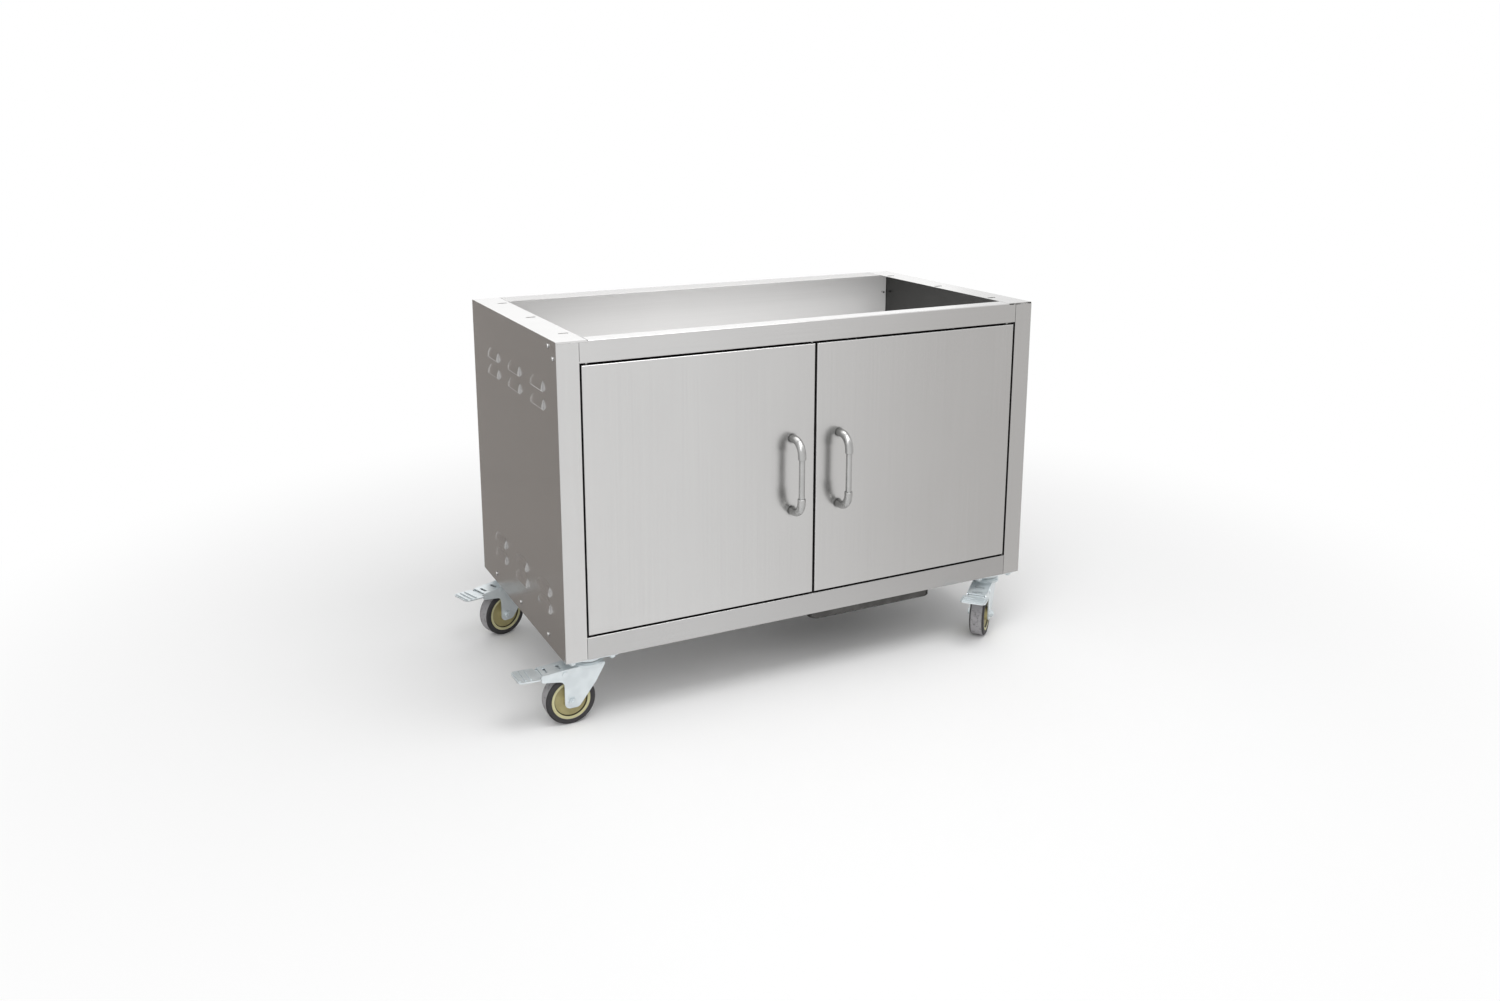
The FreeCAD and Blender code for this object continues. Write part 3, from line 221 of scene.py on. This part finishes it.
def brushed_steel(name, wall_axis, flat_axis, metal=FULL_METAL, tone=1.0, inward=None, gap_free=GAP_FREE):
    """Satin sheet with its grain along one axis on upright faces and another on level ones.

    The tone scales its brightness, as painted shade where it is below 1. Faces that look along the inward
    direction get painted shade, near black. Narrow gaps get painted shade: they lose their colour and their
    shine.
    """
    recipe = Recipe(name)
    place = recipe.place()
    is_level = recipe.span(recipe.math("ABSOLUTE", recipe.facing(UPWARD)), *LEVEL_FACES)
    streaks = []
    for across in (GRAIN_ACROSS, GRAIN_ACROSS * FINER_GRAIN):
        wall = grain(recipe, place, wall_axis, across)
        flat = grain(recipe, place, flat_axis, across)
        streaks.append(recipe.between(is_level, wall, flat))
    lines = recipe.weigh(EVEN_SHARE, *streaks)
    clouds = recipe.noise(place, even(CLOUD_SCALE), detail=2.0)
    smears = recipe.noise(place, even(SMEAR_SCALE), detail=5.0, roughness=0.65)
    tones = [[tone * part for part in steel] for steel in STEEL_TONES]
    sheet = recipe.blend(recipe.span(recipe.weigh(GRAIN_IN_TONE, lines, clouds), *STEEL_SPREAD), *tones)
    # Painted shade on the inward faces
    if inward:
        is_inside = recipe.span(recipe.facing(inward), *INWARD_FACES)
        sheet = recipe.blend(is_inside, sheet, INSIDE_PAINTED_SHADE)
    # Painted shade: narrow gaps turn near black and lose their shine
    painted_gap_shade = recipe.painted_shade_mask(GAP_REACH, GAP_SHUT, gap_free)
    colour = recipe.blend(painted_gap_shade, sheet, GAP_PAINTED_SHADE)
    shine = recipe.math("MULTIPLY", recipe.flip(painted_gap_shade), metal)
    rubbed = recipe.weigh(GRAIN_IN_GLOSS, lines, smears)
    roughness = recipe.span(rubbed, *STEEL_SPREAD, *STEEL_ROUGHNESS)
    recipe.shade(Base_Color=colour, Metallic=shine, Roughness=roughness, Specular_IOR_Level=NO_GLOSS)
    recipe.bump(lines, *STEEL_BUMP)
    return recipe.material


# Drawn tube, fasteners and the pan
TUBE_TONES = ((0.47, 0.47, 0.465), (0.51, 0.51, 0.505))
FASTENER_TONES = ((0.58, 0.58, 0.58), (0.66, 0.66, 0.65))
# Painted shade: the pan's steel is coloured near black for the shade under the cabinet
PAN_PAINTED_SHADE_TONES = ((0.085, 0.083, 0.081), (0.115, 0.113, 0.11))
# Painted shade, the colour that steel takes where other steel is within reach
POLISH_PAINTED_SHADE = (0.17, 0.17, 0.165)
POLISH_NOOKS = (0.35, 0.90)
POLISH_ROUGHNESS = (0.20, 0.25)
POLISH_BUMP = (0.02, 0.0002)
MARK_SCALE = 35.0
SCUFF_SCALES = (700.0, 700.0, 90.0)
MARKS_IN_GLOSS = 0.4
STEP_REACH = 0.004
# The tube's reach takes in the door, so its back and sides get painted shade
TUBE_REACH = 0.12


def polished_steel(name, tones, reach, shade=POLISH_PAINTED_SHADE):
    """Steel smoother than the sheet, with painted shade where other steel is within reach."""
    recipe = Recipe(name)
    place = recipe.place()
    marks = recipe.noise(place, even(MARK_SCALE))
    scuffs = recipe.noise(place, SCUFF_SCALES)
    metal = recipe.blend(recipe.span(marks, *MIDDLE), *tones)
    # Painted shade in nooks
    colour = recipe.blend(recipe.painted_shade_mask(reach, *POLISH_NOOKS), metal, shade)
    roughness = recipe.span(recipe.weigh(MARKS_IN_GLOSS, marks, scuffs), *MIDDLE, *POLISH_ROUGHNESS)
    recipe.shade(Base_Color=colour, Metallic=FULL_METAL, Roughness=roughness)
    recipe.bump(scuffs, *POLISH_BUMP)
    return recipe.material


# Zinc plating
ZINC_TONES = ((0.665, 0.715, 0.735), (0.73, 0.78, 0.80))
ZINC_SPREAD = (0.36, 0.62)
# Painted shade in the corners of the zinc pieces
ZINC_PAINTED_SHADE = (0.20, 0.22, 0.23)
ZINC_NOOKS = (0.30, 0.62)
ZINC_METAL = 0.55
ZINC_ROUGHNESS = (0.29, 0.34)
ZINC_BUMP = (0.012, 0.0002)
ZINC_CLOUD_SCALE = 38.0
ZINC_SPECKLE_SCALE = 900.0
CLOUDS_IN_ZINC = 0.92


def zinc_plate(name, reach=None):
    """Bluish plating with soft clouds and faint speckle, with painted shade in corners narrower than a given
    reach.
    """
    recipe = Recipe(name)
    place = recipe.place()
    clouds = recipe.noise(place, even(ZINC_CLOUD_SCALE), detail=1.5, roughness=0.4)
    speckle = recipe.noise(place, even(ZINC_SPECKLE_SCALE), detail=2.0)
    tone = recipe.weigh(CLOUDS_IN_ZINC, clouds, speckle)
    colour = recipe.blend(recipe.span(tone, *ZINC_SPREAD), *ZINC_TONES)
    if reach:
        # Painted shade in corners
        colour = recipe.blend(recipe.painted_shade_mask(reach, *ZINC_NOOKS), colour, ZINC_PAINTED_SHADE)
    roughness = recipe.span(tone, *MIDDLE, *ZINC_ROUGHNESS)
    recipe.shade(Base_Color=colour, Metallic=ZINC_METAL, Roughness=roughness)
    recipe.bump(speckle, *ZINC_BUMP)
    return recipe.material


# Tyres
RUBBER_TONES = ((0.018, 0.017, 0.018), (0.040, 0.037, 0.040))
RUBBER_ROUGHNESS = (0.55, 0.80)
RUBBER_BUMP = (0.25, 0.0004)
DIRT_SCALE = 110.0
SPECK_SCALE = 620.0
SIDEWALL_FACES = (0.05, 0.45)
DUST_COLOUR = (0.34, 0.33, 0.34)
DUST_SPREAD = (0.30, 0.52)
DUST_COVER = (0.35, 1.0)


def rubber(name, axle):
    """Black sidewalls, and a tread that has picked up pale floor dust."""
    recipe = Recipe(name)
    place = recipe.place()
    dirt = recipe.noise(place, even(DIRT_SCALE), detail=6.0, roughness=0.7)
    specks = recipe.noise(place, even(SPECK_SCALE))
    is_sidewall = recipe.span(recipe.math("ABSOLUTE", recipe.facing(axle)), *SIDEWALL_FACES)
    dust = recipe.math("MULTIPLY", recipe.flip(is_sidewall), recipe.span(dirt, *DUST_SPREAD, *DUST_COVER))
    colour = recipe.blend(dust, recipe.blend(specks, *RUBBER_TONES), DUST_COLOUR)
    recipe.shade(Base_Color=colour, Roughness=recipe.span(dirt, *WIDE_MIDDLE, *RUBBER_ROUGHNESS))
    recipe.bump(recipe.math("ADD", specks, dirt), *RUBBER_BUMP)
    return recipe.material


# Wheel cores
CORE_TONES = ((0.33, 0.285, 0.125), (0.39, 0.345, 0.165))
CORE_ROUGHNESS = (0.42, 0.58)
CORE_BUMP = (0.12, 0.0002)
MOTTLE_SCALE = 45.0
CORE_GRIT_SCALE = 1100.0
RING_LIGHT = (0.55, 0.52, 0.29)
RING_INNER = 0.0325
GROOVE_DARK = (0.03, 0.027, 0.012)
GROOVE_WIDTH = 0.0012
GROOVE_FLOOR = 0.4 * GROOVE_WIDTH


def wheel_plastic(name, centre, axle):
    """Khaki moulding with a paler outer ring and a dark groove between them."""
    recipe = Recipe(name)
    place = recipe.place()
    spoke = recipe.vector("CROSS_PRODUCT", recipe.vector("SUBTRACT", place, centre), axle)
    radius = recipe.length(spoke)
    mottle = recipe.noise(place, even(MOTTLE_SCALE), detail=5.0, roughness=0.6)
    grit = recipe.noise(place, even(CORE_GRIT_SCALE), detail=2.0)
    disc = recipe.blend(recipe.span(mottle, *MIDDLE), *CORE_TONES)
    is_ring = recipe.span(radius, RING_INNER, RING_INNER + GROOVE_WIDTH)
    off_groove = recipe.math("ABSOLUTE", recipe.math("SUBTRACT", radius, RING_INNER))
    is_groove = recipe.flip(recipe.span(off_groove, GROOVE_FLOOR, GROOVE_WIDTH))
    colour = recipe.blend(is_groove, recipe.blend(is_ring, disc, RING_LIGHT), GROOVE_DARK)
    recipe.shade(Base_Color=colour, Roughness=recipe.span(mottle, *WIDE_MIDDLE, *CORE_ROUGHNESS))
    recipe.bump(grit, *CORE_BUMP)
    return recipe.material


# Hinge bushes and catch cases
PLASTIC_TONES = ((0.018, 0.018, 0.019), (0.045, 0.045, 0.046))
PLASTIC_ROUGHNESS = (0.40, 0.60)
PLASTIC_BUMP = (0.2, 0.0002)
PLASTIC_GRIT_SCALE = 1500.0
PLASTIC_SMEAR_SCALE = 70.0


def dark_plastic(name):
    """Black moulding with fine grit and soft smears."""
    recipe = Recipe(name)
    place = recipe.place()
    grit = recipe.noise(place, even(PLASTIC_GRIT_SCALE))
    smears = recipe.noise(place, even(PLASTIC_SMEAR_SCALE), detail=4.0)
    colour = recipe.blend(smears, *PLASTIC_TONES)
    recipe.shade(Base_Color=colour, Roughness=recipe.span(smears, *WIDE_MIDDLE, *PLASTIC_ROUGHNESS))
    recipe.bump(grit, *PLASTIC_BUMP)
    return recipe.material


# Which piece has which finish
def paint_node(name, material):
    slots = nodes[name].data.materials
    slots.clear()
    slots.append(material)


def paint_cabinet(bright, black, pan):
    # Side panels carry painted shade on their inward faces
    side_inward = {"left": RIGHTWARD, "right": LEFTWARD}
    for hand in HANDS:
        side = brushed_steel(f"{hand}_side_grain", "Z", "Y", inward=side_inward[hand])
        paint_node(f"{hand}_side_panel", side)
    along = brushed_steel("stainless_long_grain", "X", "X")
    for name in ("floor_panel", "front_top_rail"):
        paint_node(name, along)
    # The low rail carries painted shade: a darker copy of the long-grain sheet
    low_rail = brushed_steel("low_rail_grain_painted_shade", "X", "X", tone=LOW_RAIL_PAINTED_SHADE, gap_free=DOOR_GAP_FREE)
    paint_node("front_bottom_rail", low_rail)
    paint_node("back_panel", brushed_steel("stainless_dull_grain", "X", "X", metal=DULL_METAL))
    paint_node("bottle_well", pan)
    for name in ("panel_screws", "door_hinge_pins", "castor_swivel_balls"):
        paint_node(name, bright)
    paint_node("door_catch_magnets", black)


def paint_doors(bright, black):
    upright = brushed_steel("stainless_upright_grain", "Z", "Y", gap_free=DOOR_GAP_FREE)
    # The tube carries painted shade on its back and sides, facing the door
    tube = polished_steel("handle_tube", TUBE_TONES, TUBE_REACH)
    for hand in HANDS:
        for piece in ("door_skin", "door_liner", "strike_plate"):
            paint_node(f"{hand}_{piece}", upright)
        for piece in ("handle_elbows", "handle_bar"):
            paint_node(f"{hand}_{piece}", tube)
        paint_node(f"{hand}_handle_screws", bright)
        paint_node(f"{hand}_hinge_bushes", black)


def paint_castors(bright):
    zinc = zinc_plate("zinc_plating")
    # Zinc with painted shade in its corners
    cornered = zinc_plate("zinc_with_painted_corner_shade", STEP_REACH)
    for name in ("castor_bolts", "castor_nuts", "castor_kingpins"):
        paint_node(name, cornered)
    for castor in CASTORS:
        spin = joint_of[f"{castor}_wheel_spin"]
        centre = tuple(spin["pos_m"])
        axle = tuple(spin["axis"])
        paint_node(f"castor_{castor}_tyre", rubber(f"{castor}_rubber", axle))
        paint_node(f"castor_{castor}_wheel_core", wheel_plastic(f"{castor}_wheel_plastic", centre, axle))
        for piece in ("fork", "plate"):
            paint_node(f"castor_{castor}_{piece}", zinc)
        for piece in ("axle_bolt", "brake_pedal", "brake_pin"):
            paint_node(f"castor_{castor}_{piece}", cornered)
        paint_node(f"castor_{castor}_sleeve", bright)


def paint_object():
    bright = polished_steel("bright_fasteners", FASTENER_TONES, STEP_REACH)
    # The pan carries painted shade: near-black tones and near-black corners
    pan = polished_steel("pan_steel_painted_shade", PAN_PAINTED_SHADE_TONES, STEP_REACH, GAP_PAINTED_SHADE)
    black = dark_plastic("dark_moulding")
    paint_cabinet(bright, black, pan)
    paint_doors(bright, black)
    paint_castors(bright)


# Studio. A softbox has a place, a point that it faces, a width, a height and a power in watts.
KEY_SOFTBOX = ((-1.8, -2.6, 3.0), (0, 0, 0.4), 2.4, 2.4, 30)
OVERHEAD_SOFTBOX = ((0.1, -1.0, 2.5), (0, 0.1, 0.5), 1.8, 1.2, 24)
REAR_SOFTBOX = ((0.9, 3.0, 2.0), (0, 0, 0.7), 3.4, 1.6, 7)
INSIDE_FILL = ((0, -0.20, 0.72), (0, 0.28, 0.72), 1.0, 0.06, 3)
AMBIENT = 0.76
WHITE = (1, 1, 1, 1)
MATTE_ROUGHNESS = 0.9

# The floor keeps the shadow near the object and is plain white further off
FLOOR_HALF = 30.0
FLOOR_COLOUR = (0.84, 0.84, 0.84)
FLOOR_FADE = (0.75, 2.0)

# Cards that only reflections see: a dark pair on the left, and a pair in front that fades to grey
CARD_RISE = 0.002
CARD_DARK = (0.32, 0.297, 0.278)
CARD_WHITE = (0.96, 0.96, 0.96)
CARD_GREY = (0.66, 0.65, 0.64)
LEFT_CARDS_END = -3.2
LEFT_UPRIGHT_EDGE = -0.6
LEFT_GROUND_EDGE = -0.56
LEFT_CARDS_FRONT = -0.3
LEFT_CARDS_BACK = 1.2
LEFT_CARDS_TOP = 1.8
FRONT_CARDS_LEFT = -0.3
FRONT_CARDS_RIGHT = 1.7
FRONT_CARDS_FRONT = -0.7
FRONT_CARDS_BACK = -0.33
FRONT_CARDS_TOP = 0.9
FRONT_CARDS_FADE = (-0.25, 0.85)


def seen_directly(tree):
    """1 for rays from the camera, from reflections and through glass, 0 for the rest."""
    path = tree.nodes.new("ShaderNodeLightPath")
    seen = path.outputs["Is Camera Ray"]
    for name in ("Is Glossy Ray", "Is Transmission Ray"):
        either = tree.nodes.new("ShaderNodeMath")
        either.operation = "MAXIMUM"
        tree.links.new(seen, either.inputs[0])
        tree.links.new(path.outputs[name], either.inputs[1])
        seen = either.outputs[0]
    return seen


def light_world():
    """White to the camera, to reflections and through glass, and a softer fill for the rest."""
    world = bpy.data.worlds.new("studio")
    world.use_nodes = True
    tree = world.node_tree
    backdrop = tree.nodes["Background"]
    backdrop.inputs["Color"].default_value = WHITE
    strength = tree.nodes.new("ShaderNodeMapRange")
    strength.inputs["To Min"].default_value = AMBIENT
    strength.inputs["To Max"].default_value = GLOW_STRENGTH
    tree.links.new(seen_directly(tree), strength.inputs["Value"])
    tree.links.new(strength.outputs["Result"], backdrop.inputs["Strength"])
    bpy.context.scene.world = world


def add_softbox(name, place, target, width, height, power):
    data = bpy.data.lights.new(name, "AREA")
    data.shape = "RECTANGLE"
    data.size = width
    data.size_y = height
    data.energy = power
    lamp = bpy.data.objects.new(name, data)
    aim = Vector(target) - Vector(place)
    lamp.matrix_world = Matrix.Translation(place) @ aim.to_track_quat("-Z", "Y").to_matrix().to_4x4()
    lamp.visible_camera = False
    bpy.context.scene.collection.objects.link(lamp)
    return lamp


def add_plane(name, corners, material):
    mesh = bpy.data.meshes.new(name)
    mesh.from_pydata(corners, [], [tuple(range(len(corners)))])
    mesh.materials.append(material)
    plane = bpy.data.objects.new(name, mesh)
    bpy.context.scene.collection.objects.link(plane)
    return plane


def level_corners(left, right, front, back, height):
    return [(left, front, height), (right, front, height), (right, back, height), (left, back, height)]


def upright_corners(left, right, depth, top):
    return [(left, depth, CARD_RISE), (right, depth, CARD_RISE), (right, depth, top), (left, depth, top)]


def matte(name, colour):
    recipe = Recipe(name)
    recipe.shade(Base_Color=opaque(colour), Roughness=MATTE_ROUGHNESS, Specular_IOR_Level=NO_GLOSS)
    return recipe


def build_floor():
    recipe = matte("studio_floor", FLOOR_COLOUR)
    away = recipe.span(recipe.length(recipe.place()), *FLOOR_FADE)
    share = recipe.math("MULTIPLY", away, seen_directly(recipe.tree))
    near_and_far = {0: share, 1: recipe.shader.outputs[0], 2: recipe.glow(WHITE)}
    recipe.surface(recipe.node("ShaderNodeMixShader", near_and_far).outputs[0])
    corners = level_corners(-FLOOR_HALF, FLOOR_HALF, -FLOOR_HALF, FLOOR_HALF, 0)
    add_plane("studio_floor", corners, recipe.material)


def fading_light(name, low_x, high_x):
    """A lit panel that fades from white on its left to grey on its right."""
    recipe = Recipe(name)
    across = recipe.vector("DOT_PRODUCT", recipe.place(), RIGHTWARD)
    recipe.surface(recipe.glow(recipe.blend(recipe.span(across, low_x, high_x), CARD_WHITE, CARD_GREY)))
    return recipe.material


def add_card(name, corners, material):
    card = add_plane(name, corners, material)
    card.visible_camera = False
    card.visible_diffuse = False
    card.visible_shadow = False


def build_cards():
    dark = matte("dark_card", CARD_DARK).material
    fading = fading_light("graded_card", *FRONT_CARDS_FADE)
    left_depth = (LEFT_CARDS_FRONT, LEFT_CARDS_BACK)
    left_upright = upright_corners(LEFT_CARDS_END, LEFT_UPRIGHT_EDGE, LEFT_CARDS_BACK, LEFT_CARDS_TOP)
    left_ground = level_corners(LEFT_CARDS_END, LEFT_GROUND_EDGE, *left_depth, CARD_RISE)
    front_width = (FRONT_CARDS_LEFT, FRONT_CARDS_RIGHT)
    front_upright = upright_corners(*front_width, FRONT_CARDS_FRONT, FRONT_CARDS_TOP)
    front_ground = level_corners(*front_width, FRONT_CARDS_FRONT, FRONT_CARDS_BACK, CARD_RISE)
    add_card("left_upright_card", left_upright, dark)
    add_card("left_ground_card", left_ground, dark)
    add_card("front_upright_card", front_upright, fading)
    add_card("front_ground_card", front_ground, fading)


def build_studio():
    light_world()
    build_floor()
    add_softbox("key_softbox", *KEY_SOFTBOX)
    add_softbox("overhead_softbox", *OVERHEAD_SOFTBOX)
    add_softbox("rear_softbox", *REAR_SOFTBOX)
    inside = add_softbox("inside_fill", *INSIDE_FILL)
    inside.visible_glossy = False
    build_cards()


place_camera()
paint_object()
build_studio()

bpy.context.scene.view_settings.view_transform = "Standard"
